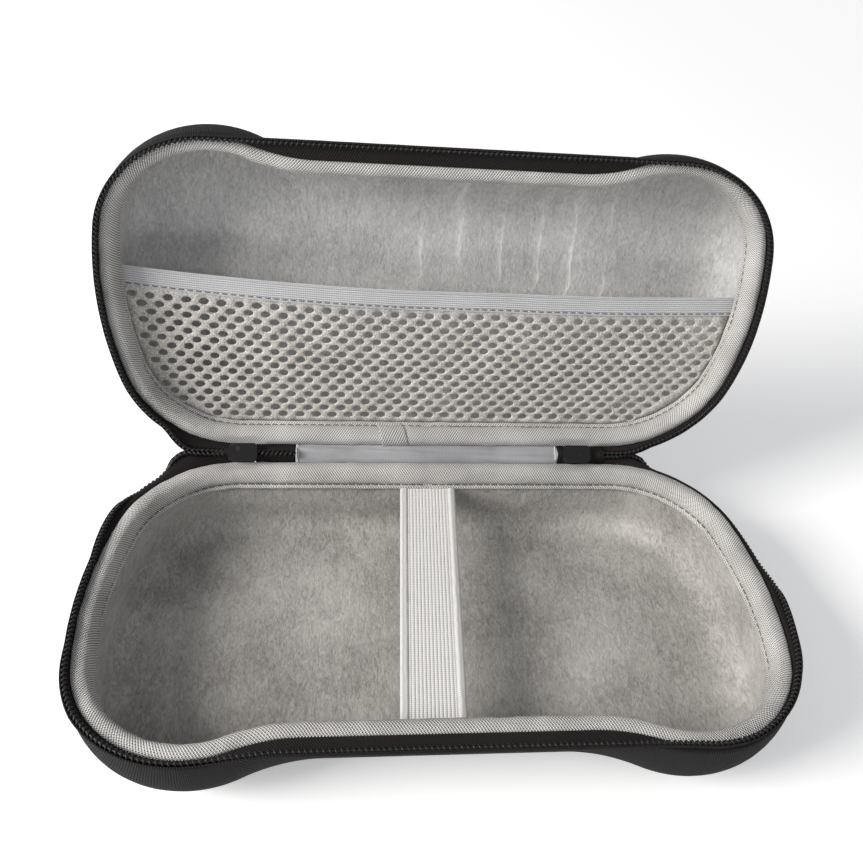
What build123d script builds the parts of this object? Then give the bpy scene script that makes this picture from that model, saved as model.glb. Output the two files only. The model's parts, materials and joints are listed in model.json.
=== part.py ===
"""A zipped, moulded foam carrying case with a waisted outline, standing open on its base."""

import os
from math import cos, radians, sin, tan
from typing import NamedTuple

from build123d import *

# Rim outline, followed from the middle of the hinge edge round to the middle of the front
hinge_edge_half = 72.8
back_corner_radius = 44.3
back_corner_turn = 74.3
side_radius = 148.4
side_turn = 23.5
lobe_radius = 39.2
waist_radius = 60.0
waist_turn = 21.0
floor_waist_turn = 30.0

# Foam halves and their fabric layers
base_depth = 36.0
lid_depth = 30.0
base_bottom_radius = 16.0
lid_bottom_radius = 17.0
base_floor_round = 19.0
lid_floor_round = 18.5
base_swell = 1.5
lid_swell = 0.5
rim_band = 3.0
base_lean = 8.0
lid_lean = 2.0
draft = 4.0
base_wall = 4.0
lid_wall = 3.4
lining_thickness = 1.2
fit_gap = 0.15

# Binding, sewn over the rim and down the inside
binding_thickness = 1.3
binding_drop = 7.0
binding_edge = 0.9
binding_roll = 2.4

# Zip
zip_half_gap = 5.0
tape_inset = 0.1
tape_thickness = 0.6
tape_height = 2.6
coil_width = 2.0
coil_height = 2.2
coil_pitch = 1.8
coil_gap = 0.8
coil_gap_depth = 1.2
coil_waist_turn = 2.3
left_slider_x = -72.4
right_slider_x = 59.4

# Sliders and pulls
slider_length = 11.0
slider_width = 6.8
slider_plate = 1.0
slider_channel = 2.6
slider_corner = 1.6
slider_flange = 0.8
tape_slot = 1.2
slider_post = 3.0
bridge_length = 8.0
bridge_width = 1.8
bridge_thickness = 1.0
bridge_clear_height = 1.8
pull_length = 28.0
pull_width = 5.2
pull_thickness = 1.0
pull_eye_length = 5.2
pull_eye_width = 2.5
pull_rail = 0.85

# Hinge
open_angle = 97.8
hinge_behind_rim = 0.5
web_thickness = 0.8
web_leg = 8.0
liner_thickness = 0.7
liner_half = 52.0
chain_fold = 1.2

# Elastic strap
strap_width = 20.5
strap_thickness = 1.2
strap_back_x = 0.0
strap_front_x = -4.0

# Mesh pocket
pocket_height = 68.0
pocket_band = 8.0
pocket_band_thickness = 1.6
mesh_thickness = 1.0
mesh_hole_length = 7.4
mesh_hole_width = 4.4
mesh_column_pitch = 13.0
mesh_row_pitch = 6.0
mesh_columns = 14
mesh_rows = 8

os.makedirs("parts", exist_ok=True)

# Sizes that follow from the outline
front_heading = 180
side_end = back_corner_turn + side_turn
rim_depth = (
    back_corner_radius * (1 - cos(radians(back_corner_turn)))
    + side_radius * (cos(radians(back_corner_turn)) - cos(radians(side_end)))
    + lobe_radius * (1 + cos(radians(side_end)))
)
half_depth = rim_depth / 2
slope = tan(radians(draft))
tape_middle = tape_inset + tape_thickness / 2
hinge_y = half_depth + hinge_behind_rim
zip_z = base_depth + zip_half_gap


class Half(NamedTuple):
    """One moulded half: its rim plane, with Z out of the bowl, and the sizes of the bowl."""

    frame: Plane
    depth: float
    bottom_radius: float
    floor_round: float
    swell: float
    lean: float
    wall: float

    @property
    def inside(self):
        """How far the lining's face lies inside the zip's outline."""
        return self.wall + fit_gap + lining_thickness


def swung(plane, angle):
    """The plane, turned with the lid about the hinge line by an opening angle."""
    turn = Pos(0, hinge_y, zip_z) * Rot(X=-angle) * Pos(0, -hinge_y, -zip_z)
    return Plane(turn * plane.location)


base_frame = Plane(origin=(0, 0, base_depth), x_dir=(1, 0, 0), z_dir=(0, 0, 1))
closed_lid_frame = Plane(origin=(0, 0, zip_z + zip_half_gap), x_dir=(-1, 0, 0), z_dir=(0, 0, -1))
open_lid_frame = swung(closed_lid_frame, open_angle)
base = Half(
    base_frame, base_depth, base_bottom_radius, base_floor_round, base_swell, base_lean, base_wall
)
lid = Half(
    open_lid_frame, lid_depth, lid_bottom_radius, lid_floor_round, lid_swell, lid_lean, lid_wall
)


def outline(inset, dip):
    """The case's outline, moved inwards by the inset, with its front waist turned in by the dip."""
    with BuildLine() as path:
        back = Line((0, half_depth - inset), (hinge_edge_half, half_depth - inset))
        corner = JernArc(back @ 1, back % 1, back_corner_radius - inset, -back_corner_turn)
        side = JernArc(corner @ 1, corner % 1, side_radius - inset, -side_turn)
        lobe = JernArc(side @ 1, side % 1, lobe_radius - inset, side_end - front_heading)
        shoulder = JernArc(lobe @ 1, lobe % 1, lobe_radius - inset, -dip)
        waist = JernArc(shoulder @ 1, shoulder % 1, waist_radius + inset, dip)
        Line(waist @ 1, (0, (waist @ 1).Y))
        mirror(about=Plane.YZ)
    make_face(path.edges())


def dip_at(half, drop):
    """The waist's turn at a drop below the rim: it deepens towards the floor."""
    return waist_turn + (floor_waist_turn - waist_turn) * max(drop, 0) / half.depth


def lean_at(half, drop):
    """How far a level stands back from the rim, so that the floor reaches under the hinge."""
    return half.lean * (max(drop, 0) / half.depth) ** 3


def level(half, drop):
    """The plane of a level below the rim."""
    origin = half.frame.from_local_coords((0, lean_at(half, drop), -drop))
    return Plane(origin, half.frame.x_dir, half.frame.z_dir)


def section(half, drop, inset):
    """One level of a bowl."""
    with BuildSketch(level(half, drop)) as face:
        outline(inset, dip_at(half, drop))
    return face.sketch


def wall_inset(drop, skin):
    """The inset of a layer that starts a skin's thickness inside the zip's outline and is drafted."""
    return skin + drop * slope


def outside(half):
    """A bowl's outer form: it swells past the zip, rounds in to its floor, and is flat behind."""
    levels = [section(half, drop, -half.swell) for drop in (0, rim_band)]
    for turn in (22.5, 45, 67.5, 90):
        drop = rim_band + (half.depth - rim_band) * sin(radians(turn))
        inset = half.floor_round * (1 - cos(radians(turn))) - half.swell
        levels.append(section(half, drop, inset))
    loft(levels)
    with BuildSketch(half.frame) as behind:
        with Locations((0, half_depth + half.swell)):
            Rectangle(2 * (hinge_edge_half + back_corner_radius), 2 * half.swell)
    extrude(behind.sketch, amount=-half.depth, mode=Mode.SUBTRACT)


def bowl(half, skin, mode=Mode.ADD):
    """The space inside a layer, down to its rounded floor."""
    foot = half.depth - half.bottom_radius
    levels = [section(half, drop, wall_inset(drop, skin)) for drop in (0, foot / 2, foot)]
    radius = half.bottom_radius - skin
    for turn in (30, 60, 90):
        inset = foot * slope + half.bottom_radius - radius * cos(radians(turn))
        levels.append(section(half, foot + radius * sin(radians(turn)), inset))
    loft(levels, mode=mode)


def back_y(half, drop, skin):
    """Where a layer's back wall stands, in the half's own frame."""
    return half_depth - wall_inset(drop, skin) + lean_at(half, drop)


def waist_y(half, drop, skin):
    """Where a layer's front wall stands at the waist, in the half's own frame."""
    rise = (lobe_radius + waist_radius) * (1 - cos(radians(dip_at(half, drop))))
    return -half_depth + rise + wall_inset(drop, skin) + lean_at(half, drop)


def rim_binding(half):
    """A folded strip: a flange on the rim and a leg down the lining, with a rolled shoulder."""
    flange_bottom = -fit_gap
    leg_skin = half.inside + fit_gap
    leg_drops = (binding_drop, flange_bottom)
    loft([section(half, drop, wall_inset(drop, leg_skin)) for drop in leg_drops], ruled=True)
    flange_drops = (flange_bottom, -binding_thickness)
    loft([section(half, drop, binding_edge) for drop in flange_drops], ruled=True)
    face_skin = leg_skin + binding_thickness
    shoulder = binding_roll - binding_thickness
    inside = [section(half, drop, wall_inset(drop, face_skin)) for drop in (binding_drop, shoulder)]
    inside.append(section(half, -binding_thickness / 2, face_skin - binding_roll / 3))
    inside.append(section(half, -binding_thickness, face_skin - binding_roll))
    loft(inside, ruled=True, mode=Mode.SUBTRACT)


def zip_gap(half, bottom, top):
    """Clears the hinge edge between the outer ends of the two sliders."""
    left = left_slider_x - slider_length / 2 - fit_gap
    right = right_slider_x + slider_length / 2 + fit_gap
    middle = half.frame.x_dir.X * (left + right) / 2
    with BuildSketch(half.frame.offset(bottom)) as gap:
        with Locations((middle, half_depth)):
            Rectangle(right - left, back_corner_radius / 4)
    extrude(gap.sketch, amount=top - bottom, mode=Mode.SUBTRACT)


def zip_tape(half):
    """The woven strip that stands on the rim and leans out to the coil, which spans the waist."""
    for inset, mode in ((tape_inset, Mode.ADD), (tape_inset + tape_thickness, Mode.SUBTRACT)):
        with BuildSketch(half.frame) as foot:
            outline(inset, waist_turn)
        with BuildSketch(half.frame.offset(binding_thickness + fit_gap)) as knee:
            outline(inset, waist_turn)
        with BuildSketch(half.frame.offset(tape_height)) as top:
            outline(inset, coil_waist_turn)
        loft([foot.sketch, knee.sketch, top.sketch], ruled=True, mode=mode)
    zip_gap(half, 0, tape_height)


def zip_coil(half):
    """The coil on the tape's edge: a bead, parted on its inner side into one loop after another."""
    with BuildSketch() as inside:
        outline(tape_middle + coil_width / 2, coil_waist_turn)
    inner_edge = inside.sketch.face().outer_wire()
    loops = round(inner_edge.length / coil_pitch)
    gaps = []
    for loop in range(loops):
        place = inner_edge @ (loop / loops)
        gaps.append(Location((place.X, place.Y), inner_edge.tangent_angle_at(loop / loops)))
    with BuildSketch(half.frame.offset(tape_height)) as bead:
        outline(tape_middle - coil_width / 2, coil_waist_turn)
        add(inside.sketch, mode=Mode.SUBTRACT)
        with Locations(*gaps):
            Rectangle(coil_gap, 2 * coil_gap_depth, mode=Mode.SUBTRACT)
    extrude(bead.sketch, amount=coil_height)
    zip_gap(half, tape_height, tape_height + coil_height)


for name, half in (("base", base), ("lid", lid)):
    with BuildPart() as shell:
        outside(half)
        bowl(half, half.wall, Mode.SUBTRACT)
    shell.part.label = f"{name}_shell"
    export_step(shell.part, f"parts/{name}_shell.step")

    with BuildPart() as lining:
        bowl(half, half.wall + fit_gap)
        bowl(half, half.inside, Mode.SUBTRACT)
    lining.part.label = f"{name}_lining"
    export_step(lining.part, f"parts/{name}_lining.step")

    with BuildPart() as binding:
        rim_binding(half)
    binding.part.label = f"{name}_binding"
    export_step(binding.part, f"parts/{name}_binding.step")

    with BuildPart() as tape:
        zip_tape(half)
    tape.part.label = f"{name}_zip_tape"
    export_step(tape.part, f"parts/{name}_zip_tape.step")

    with BuildPart() as coil:
        zip_coil(half)
    coil.part.label = f"{name}_zip_coil"
    export_step(coil.part, f"parts/{name}_zip_coil.step")

# Elastic strap, sewn in under the binding at the back and at the waist
strap_drop = binding_drop + fit_gap
strap_foot = strap_drop + strap_thickness
strap_back = back_y(base, strap_foot, base.inside + fit_gap)
strap_front = waist_y(base, strap_foot, base.inside + fit_gap)
with BuildPart() as elastic_strap:
    with BuildSketch(base_frame.offset(-strap_foot)):
        Polygon(
            (strap_back_x - strap_width / 2, strap_back),
            (strap_front_x - strap_width / 2, strap_front),
            (strap_front_x + strap_width / 2, strap_front),
            (strap_back_x + strap_width / 2, strap_back),
            align=None,
        )
    extrude(amount=strap_thickness)
elastic_strap.part.label = "elastic_strap"
export_step(elastic_strap.part, "parts/elastic_strap.step")

# Mesh pocket, sewn in under the lid's binding, with an elastic band along its mouth
pocket_drop = binding_drop + fit_gap
band_foot = pocket_drop + pocket_band_thickness
band_middle = half_depth - pocket_height + pocket_band / 2
mesh_top = half_depth - pocket_height + pocket_band + fit_gap
pocket_reach = 2 * (hinge_edge_half + back_corner_radius + lobe_radius)


def pocket_outline(foot):
    """The lid's inside at a level, just clear of its lining."""
    outline(wall_inset(foot, lid.inside + fit_gap), dip_at(lid, foot))


with BuildPart() as mesh_pocket:
    mesh_foot = pocket_drop + mesh_thickness
    with BuildSketch(level(lid, mesh_foot)):
        pocket_outline(mesh_foot)
        with Locations((0, mesh_top + rim_depth / 2)):
            Rectangle(pocket_reach, rim_depth, mode=Mode.INTERSECT)
        first_row = mesh_top + mesh_hole_width
        for row in range(mesh_rows):
            shift = mesh_column_pitch / 4 * (-1) ** row
            with Locations((shift, first_row + row * mesh_row_pitch)):
                with GridLocations(mesh_column_pitch, mesh_row_pitch, mesh_columns, 1):
                    Polygon(
                        (mesh_hole_length / 2, 0),
                        (mesh_hole_length / 4, mesh_hole_width / 2),
                        (-mesh_hole_length / 4, mesh_hole_width / 2),
                        (-mesh_hole_length / 2, 0),
                        (-mesh_hole_length / 4, -mesh_hole_width / 2),
                        (mesh_hole_length / 4, -mesh_hole_width / 2),
                        mode=Mode.SUBTRACT,
                    )
    extrude(amount=mesh_thickness)
mesh_pocket.part.label = "mesh_pocket"
export_step(mesh_pocket.part, "parts/mesh_pocket.step")

with BuildPart() as pocket_elastic:
    with BuildSketch(level(lid, band_foot)):
        pocket_outline(band_foot)
        with Locations((0, band_middle)):
            Rectangle(pocket_reach, pocket_band, mode=Mode.INTERSECT)
    extrude(amount=pocket_band_thickness)
pocket_elastic.part.label = "pocket_elastic"
export_step(pocket_elastic.part, "parts/pocket_elastic.step")

# Hinge fabric: both layers bend round a common centre between the two rims
liner_y = half_depth - tape_middle
liner_away = hinge_y - liner_y
half_open = radians(open_angle / 2)
liner_bend = (zip_half_gap * cos(half_open) + liner_away * sin(half_open)) / sin(half_open)
web_y = half_depth + fit_gap + web_thickness / 2

with BuildPart() as hinge_liner:
    with BuildLine(Plane.YZ) as liner_path:
        JernArc((liner_y, base_depth), (0, 1), liner_bend, -open_angle)
    with BuildSketch(Plane(liner_path.line @ 0, x_dir=(1, 0, 0), z_dir=liner_path.line % 0)):
        Rectangle(2 * liner_half, liner_thickness)
    sweep(path=liner_path.line)
hinge_liner.part.label = "hinge_liner"
export_step(hinge_liner.part, "parts/hinge_liner.step")

with BuildPart() as hinge_web:
    with BuildLine(Plane.YZ) as web_path:
        rise = Line((web_y, base_depth - web_leg), (web_y, base_depth))
        bend = JernArc(rise @ 1, rise % 1, liner_bend + liner_y - web_y, -open_angle)
        PolarLine(bend @ 1, web_leg, direction=bend % 1)
    with BuildSketch(Plane(web_path.line @ 0, x_dir=(1, 0, 0), z_dir=web_path.line % 0)):
        Rectangle(2 * liner_half, web_thickness)
    sweep(path=web_path.line)
hinge_web.part.label = "hinge_web"
export_step(hinge_web.part, "parts/hinge_web.step")

# The closed end of the zip, between the left slider and the hinge liner
chain_start = left_slider_x + slider_length / 2 + fit_gap
chain_end = -liner_half - fit_gap
chain_length = chain_end - chain_start
chain_middle = (chain_start + chain_end) / 2
lid_rim = lid.frame.from_local_coords((0, liner_y, 0))
with BuildPart() as left_zip_end:
    with BuildLine(Plane.YZ) as chain_path:
        FilletPolyline(
            (liner_y, base_depth),
            (liner_y, zip_z + liner_away * sin(half_open) / cos(half_open)),
            (lid_rim.Y, lid_rim.Z),
            radius=chain_fold,
        )
    with BuildSketch(Plane(chain_path.line @ 0, x_dir=(1, 0, 0), z_dir=chain_path.line % 0)):
        with Locations((chain_middle, 0)):
            Rectangle(chain_length, tape_thickness)
    sweep(path=chain_path.line)
    fold = chain_path.line @ 0.5
    with BuildSketch(Plane.YZ.offset(chain_start)):
        with Locations((fold.Y, fold.Z)):
            Circle(coil_width / 2)
    extrude(amount=chain_length)
left_zip_end.part.label = "left_zip_end"
export_step(left_zip_end.part, "parts/left_zip_end.step")

# Sliders, parked at the two ends of the open zip, with their pulls hanging behind the case
on_foot = (Align.CENTER, Align.MIN)
plate_top = slider_channel / 2 + slider_plate
bridge_span = bridge_length - 2 * bridge_thickness
eye_outside = pull_eye_width + 2 * pull_rail
pivot_height = plate_top + bridge_clear_height / 2
for name, slider_x in (("left", left_slider_x), ("right", right_slider_x)):
    closed = Plane((slider_x, liner_y, zip_z), x_dir=(1, 0, 0), z_dir=(0, 1, 0))
    frame = swung(closed, open_angle / 2)
    with BuildPart() as slider:
        for side in (-1, 1):
            with BuildSketch(frame.offset(side * (plate_top - slider_plate / 2))):
                RectangleRounded(slider_length, slider_width, slider_corner)
            extrude(amount=slider_plate / 2, both=True)
            with BuildSketch(frame.offset(side * tape_slot / 2)):
                with GridLocations(slider_length, slider_width - slider_flange, 1, 2):
                    Rectangle(slider_length - 2 * slider_corner, slider_flange)
            extrude(amount=side * (slider_channel - tape_slot) / 2)
        with BuildSketch(frame):
            with Locations((slider_length / 2 - slider_post, 0)):
                RegularPolygon(slider_post / 2, 4)
        extrude(amount=slider_channel / 2, both=True)
        bridge_foot = frame.from_local_coords((0, 0, plate_top))
        with BuildSketch(Plane(bridge_foot, x_dir=frame.x_dir, z_dir=-frame.y_dir)):
            Rectangle(bridge_length, bridge_clear_height + bridge_thickness, align=on_foot)
            Rectangle(bridge_span, bridge_clear_height, align=on_foot, mode=Mode.SUBTRACT)
        extrude(amount=bridge_width / 2, both=True)
    slider.part.label = f"{name}_slider"
    export_step(slider.part, f"parts/{name}_slider.step")

    pivot = frame.from_local_coords((0, 0, pivot_height))
    tab_start = pull_eye_length + pull_rail
    with BuildPart() as pull:
        with BuildSketch(Plane(pivot, x_dir=frame.y_dir, z_dir=frame.x_dir)):
            with Locations((0, -pull_thickness / 2)):
                Rectangle(eye_outside, tab_start + pull_thickness, align=on_foot)
            with Locations((0, (tab_start + pull_length) / 2)):
                RectangleRounded(pull_width, pull_length - tab_start, pull_width / 3)
            with Locations((0, (pull_thickness / 2 + pull_eye_length) / 2)):
                Rectangle(pull_eye_width, pull_eye_length - pull_thickness / 2, mode=Mode.SUBTRACT)
        extrude(amount=pull_thickness / 2, both=True)
    pull.part.label = f"{name}_pull"
    export_step(pull.part, f"parts/{name}_pull.step")
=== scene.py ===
# %% [markdown]
# # A zipped foam case, standing open
# The case is two moulded foam bowls, covered in black cloth, lined with grey plush and joined at the back
# by a strip of cloth. The solids come from the packed part, and stay the frame of everything here: each
# cloth piece is built round the same outline, so that it lies where its solid is.

# %% Load the frame
import json
from math import cos, pi, radians, sin, tan

import bmesh
import bpy
import numpy as np
from mathutils import Matrix, Vector, geometry, noise


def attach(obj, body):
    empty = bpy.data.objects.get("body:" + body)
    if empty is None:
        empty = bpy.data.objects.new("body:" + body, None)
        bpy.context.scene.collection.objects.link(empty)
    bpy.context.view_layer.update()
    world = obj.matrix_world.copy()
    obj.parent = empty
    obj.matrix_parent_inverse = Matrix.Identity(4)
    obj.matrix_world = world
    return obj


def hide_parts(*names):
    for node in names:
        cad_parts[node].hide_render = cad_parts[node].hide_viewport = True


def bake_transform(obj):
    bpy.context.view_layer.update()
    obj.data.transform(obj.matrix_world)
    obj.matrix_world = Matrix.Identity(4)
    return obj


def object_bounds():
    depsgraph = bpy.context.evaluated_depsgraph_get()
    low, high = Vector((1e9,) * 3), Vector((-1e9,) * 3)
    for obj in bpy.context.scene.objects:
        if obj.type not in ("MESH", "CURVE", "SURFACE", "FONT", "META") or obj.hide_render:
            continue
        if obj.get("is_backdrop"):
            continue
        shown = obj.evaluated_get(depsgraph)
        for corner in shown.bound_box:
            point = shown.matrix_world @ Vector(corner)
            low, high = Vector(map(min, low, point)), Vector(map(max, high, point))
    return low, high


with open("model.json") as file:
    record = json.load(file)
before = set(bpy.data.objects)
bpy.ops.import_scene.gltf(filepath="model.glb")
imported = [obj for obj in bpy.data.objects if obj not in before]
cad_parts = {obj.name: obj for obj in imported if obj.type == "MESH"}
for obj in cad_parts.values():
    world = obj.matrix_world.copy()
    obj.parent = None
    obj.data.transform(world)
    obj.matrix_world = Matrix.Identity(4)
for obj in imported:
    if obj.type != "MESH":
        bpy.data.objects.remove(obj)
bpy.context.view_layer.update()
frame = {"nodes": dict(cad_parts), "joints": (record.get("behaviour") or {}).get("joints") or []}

# %% [markdown]
# ## Camera, floor and light
# The picture was taken by hand from a little left of the middle, looking down at the open case. The camera
# stands where the outline of the zip falls on the one in the picture, slightly rolled as it was held. The
# lens shift is there because the picture is a crop. The floor is a large white sheet, so that it looks
# white without more light on the case, and the light is a soft window on the left with a weak fill.

# %% Camera
MM = 0.001
IMAGE_WIDTH, IMAGE_HEIGHT = 863, 862
camera_place = Vector((-37.2, -232.7, 324.5)) * MM
camera_right = Vector((0.993312, -0.078982, 0.084223))
camera_down = Vector((0.018345, -0.612214, -0.790479))
camera_forward = Vector((0.113996, 0.786737, -0.606671))
focal_pixels, middle_x, middle_y = 1029.9, 454.6, 344.8

camera = bpy.data.objects.new("camera", bpy.data.cameras.new("camera"))
bpy.context.scene.collection.objects.link(camera)
turn = Matrix((camera_right, -camera_down, -camera_forward)).transposed().to_4x4()
camera.matrix_world = Matrix.Translation(camera_place) @ turn
camera.data.lens = camera.data.sensor_width * focal_pixels / IMAGE_WIDTH
camera.data.shift_x = (IMAGE_WIDTH / 2 - middle_x) / IMAGE_WIDTH
camera.data.shift_y = (middle_y - IMAGE_HEIGHT / 2) / IMAGE_WIDTH
camera.data.clip_start = 0.01
bpy.context.scene.camera = camera
bpy.context.scene.view_settings.view_transform = "Standard"
shift = (round(camera.data.shift_x, 4), round(camera.data.shift_y, 4))
print("lens", round(camera.data.lens, 2), "shift", shift)

# %% [markdown]
# ## Shader maths as Python
# A cloth finish is mostly arithmetic on the place of a point along and across the threads. One small class
# wraps a socket, so that such a sum can be written as it is on paper; each operator adds its Math node.

# %% Socket class
class Socket:
    """A shader socket, on which Python's operators add Math nodes."""

    def __init__(self, tree, socket=None):
        self.tree, self.socket = tree, socket

    def feed(self, target, value):
        """Set a node's socket to a value, or link it."""
        if isinstance(value, Socket):
            self.tree.links.new(value.socket, target)
        else:
            target.default_value = value

    def node(self, kind, settings=None, inputs=None, out=0):
        """Any node: its type, its settings, and the values or links of its sockets."""
        made = self.tree.nodes.new(kind)
        for name, value in (settings or {}).items():
            if name == "stops":
                for place, colour in value[2:]:
                    made.color_ramp.elements.new(place)
                for element, (place, colour) in zip(made.color_ramp.elements, sorted(value)):
                    element.position, element.color = place, colour
            else:
                setattr(made, name, value)
        for key, value in (inputs or {}).items():
            self.feed(made.inputs[key], value)
        return Socket(self.tree, made.outputs[out])

    def output(self, key):
        """Another output of the same node."""
        return Socket(self.tree, self.socket.node.outputs[key])

    def maths(self, operation, *others):
        return self.node("ShaderNodeMath", {"operation": operation}, dict(enumerate((self, *others))))

    def swapped(self, operation, other):
        return self.node("ShaderNodeMath", {"operation": operation}, {0: other, 1: self})

    def clamp(self, low=0.0, high=1.0):
        return self.maths("MAXIMUM", low).maths("MINIMUM", high)

    def mix(self, low, high):
        """A colour between two others, with this value as the share of the second."""
        return self.node("ShaderNodeMix", {"data_type": "RGBA"}, {0: self, 6: low, 7: high}, out=2)

    def wave(self, pitch):
        """A sine from 0 to 1 along this value."""
        return (self * (2 * pi / pitch)).maths("SINE") * 0.5 + 0.5

    def __add__(self, other):
        return self.maths("ADD", other)

    def __mul__(self, other):
        return self.maths("MULTIPLY", other)

    def __sub__(self, other):
        return self.maths("SUBTRACT", other)

    def __truediv__(self, other):
        return self.maths("DIVIDE", other)

    def __rsub__(self, other):
        return self.swapped("SUBTRACT", other)

    def __rtruediv__(self, other):
        return self.swapped("DIVIDE", other)

    __radd__, __rmul__ = __add__, __mul__


def new_finish(name, **fixed):
    """A material, its principled shader with fixed values set, and a first socket to build from."""
    material = bpy.data.materials.new(name)
    material.use_nodes = True
    shader = material.node_tree.nodes["Principled BSDF"]
    for key, value in fixed.items():
        shader.inputs[key.replace("_", " ")].default_value = value
    return material, shader, Socket(material.node_tree)


def link_finish(shader, start, **varying):
    """Link what varies over the surface to the shader."""
    for key, value in varying.items():
        start.feed(shader.inputs[key.replace("_", " ")], value)


print("operators", [name for name in vars(Socket) if name.startswith("__r")])

# %% Floor and light
FLOOR_SIZE = 8.0
floor_mesh = bpy.data.meshes.new("floor")
reach = FLOOR_SIZE / 2
floor_corners = [(-reach, -reach, 0), (reach, -reach, 0), (reach, reach, 0), (-reach, reach, 0)]
floor_mesh.from_pydata(floor_corners, [], [(0, 1, 2, 3)])
floor = bpy.data.objects.new("floor", floor_mesh)
bpy.context.scene.collection.objects.link(floor)
floor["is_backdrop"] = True
floor_finish, floor_shader, sheet = new_finish(
    "white_floor", Base_Color=(0.93, 0.93, 0.93, 1), Roughness=0.9,
    Specular_IOR_Level=0.1, Emission_Strength=1.0)
floor_mesh.materials.append(floor_finish)


def seen_directly(start):
    """One for what the camera sees, also by a reflection or through glass, and zero for what gives light."""
    rays = start.node("ShaderNodeLightPath")
    mirrored = rays.output("Is Glossy Ray").maths("MAXIMUM", rays.output("Is Transmission Ray"))
    return rays.output("Is Camera Ray").maths("MAXIMUM", mirrored)


floor_place = sheet.node("ShaderNodeTexCoord").output("Object")
distance = sheet.node("ShaderNodeVectorMath", {"operation": "LENGTH"}, {0: floor_place}, out="Value")
far = ((distance - 0.5) / 1.6).clamp()
glow = far.mix((0.3, 0.3, 0.3, 1), (0.7, 0.7, 0.7, 1))
link_finish(floor_shader, sheet, Emission_Color=seen_directly(sheet).mix((0, 0, 0, 1), glow))

world = bpy.data.worlds.new("studio")
world.use_nodes = True
bpy.context.scene.world = world
sky = Socket(world.node_tree)
background = world.node_tree.nodes["Background"]
sky.feed(background.inputs["Color"], seen_directly(sky).mix((0.28, 0.285, 0.295, 1), (1, 1, 1, 1)))


def soft_light(name, place, target, size, power, colour):
    """A square lamp that faces a point."""
    lamp = bpy.data.lights.new(name, "AREA")
    lamp.size, lamp.energy, lamp.color = size, power, colour
    made = bpy.data.objects.new(name, lamp)
    made.location = place
    made.rotation_euler = (Vector(target) - Vector(place)).to_track_quat("-Z", "Y").to_euler()
    bpy.context.scene.collection.objects.link(made)
    return made


soft_light("window", (-1.25, -0.4, 0.85), (0, 0.05, 0.06), 0.7, 34, (1.0, 0.98, 0.95))
soft_light("fill", (0.5, -1.1, 1.1), (0, 0.05, 0.06), 1.2, 5, (0.95, 0.97, 1.0))

# %% [markdown]
# ## The outline that everything follows
# Seen from above, the rim is a chain of arcs that run smoothly into each other: a straight hinge edge, a
# round corner, a nearly straight side, a full lobe at the front, and a shallow waist between the lobes.
# Every layer of the case is that outline moved inwards, so one function makes them all. Each arc always
# has the same number of points, so that a point on one level belongs to the same point on the next.

# %% Sizes and outline
hinge = next(j for j in frame["joints"] if j["name"] == "lid_hinge")
hinge_y, hinge_z = (value / MM for value in hinge["pos_m"][1:])
open_angle = radians(-hinge["range_deg"][0])
hinge_edge_half = 72.8
corner_radius, corner_turn = 44.3, 74.3
side_radius, side_turn = 148.4, 23.5
lobe_radius, waist_radius = 39.2, 60.0
waist_turn, floor_waist_turn, coil_waist_turn = 21.0, 30.0, 2.3
half_depth = hinge_y - 0.5
slope = tan(radians(4.0))
lining_thickness, seam_gap, rim_band = 1.2, 0.15, 3.0
LINE_POINTS, ARC_POINTS, DIP_POINTS, FRONT_POINTS = 48, 44, 16, 34


def outline(inset, dip):
    """The rim's outline in millimetres, clockwise from the middle of the hinge edge."""
    back = np.linspace(0, hinge_edge_half, LINE_POINTS, endpoint=False)
    runs = [np.stack([back, np.full_like(back, half_depth - inset)], axis=1)]
    start, heading = np.array([hinge_edge_half, half_depth - inset]), 0.0
    lobe_turn = 180 - corner_turn - side_turn
    bends = (
        (corner_radius - inset, corner_turn, ARC_POINTS),
        (side_radius - inset, side_turn, ARC_POINTS),
        (lobe_radius - inset, lobe_turn, ARC_POINTS),
        (lobe_radius - inset, dip, DIP_POINTS),
        (-waist_radius - inset, dip, DIP_POINTS),
    )
    for radius, bend, count in bends:
        centre = start + radius * np.array([sin(heading), -cos(heading)])
        angles = heading - np.sign(radius) * radians(bend) * np.arange(count + 1) / count
        arc = centre - radius * np.stack([np.sin(angles), -np.cos(angles)], axis=1)
        runs.append(arc[:-1])
        start, heading = arc[-1], angles[-1]
    front = np.linspace(start[0], 0, FRONT_POINTS + 1)
    runs.append(np.stack([front, np.full_like(front, start[1])], axis=1))
    right = np.concatenate(runs)
    left = right[-2:0:-1] * (-1, 1)
    return np.concatenate([right, left])


def ease(value):
    """A smooth step from 0 to 1."""
    value = np.clip(value, 0, 1)
    return value * value * (3 - 2 * value)


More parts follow.
